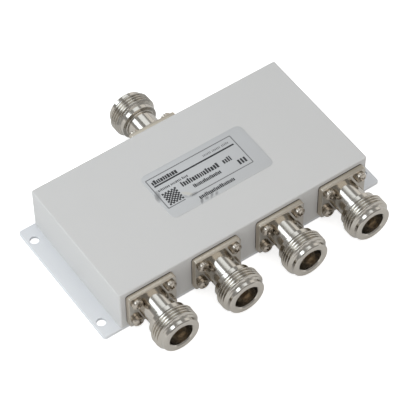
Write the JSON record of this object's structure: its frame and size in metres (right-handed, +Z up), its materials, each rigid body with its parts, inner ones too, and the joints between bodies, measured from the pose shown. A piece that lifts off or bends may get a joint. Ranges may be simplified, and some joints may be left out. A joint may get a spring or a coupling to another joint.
{
  "type": "rf power splitter",
  "caption": "Painted metal box with mounting ears that divides a radio signal from one coaxial socket among the sockets on its opposite side.",
  "frame": {"origin": "middle of the base plate's underside", "axes": "+Z up, +X along the row of outputs, -Y out of the outputs, +Y out of the input"},
  "size_m": [0.1114, 0.0892, 0.019],
  "materials": {
    "paint": "smooth light grey paint, satin",
    "plate_paint": "smooth paint, a little lighter and bluer than the box",
    "nickel": "bright nickel plate on brass",
    "screw_nickel": "nickel-plated steel, slightly warm",
    "screw_steel": "plain stainless steel",
    "gold": "thin gold plate",
    "insulator": "waxy fluoropolymer",
    "gasket": "black sheet rubber",
    "laminate": "glass-fibre laminate",
    "copper": "bare copper",
    "ceramic": "glazed chip with tinned ends",
    "label_film": "thin printed film"
  },
  "bodies": {
    "root": {"housing": "paint", "base_plate": "plate_paint", "base_screws": "screw_steel", "label": "label_film", "circuit_board": "laminate", "copper_tracks": "copper", "board_screws": "screw_steel", "resistor_first": "ceramic", "resistor_left": "ceramic", "resistor_right": "ceramic", "input_shell": "nickel", "input_insulator": "insulator", "input_contact": "gold", "input_gasket": "gasket", "input_screws": "screw_nickel", "output_1_shell": "nickel", "output_1_insulator": "insulator", "output_1_contact": "gold", "output_1_gasket": "gasket", "output_1_screws": "screw_nickel", "output_2_shell": "nickel", "output_2_insulator": "insulator", "output_2_contact": "gold", "output_2_gasket": "gasket", "output_2_screws": "screw_nickel", "output_3_shell": "nickel", "output_3_insulator": "insulator", "output_3_contact": "gold", "output_3_gasket": "gasket", "output_3_screws": "screw_nickel", "output_4_shell": "nickel", "output_4_insulator": "insulator", "output_4_contact": "gold", "output_4_gasket": "gasket", "output_4_screws": "screw_nickel"}
  },
  "joints": []
}
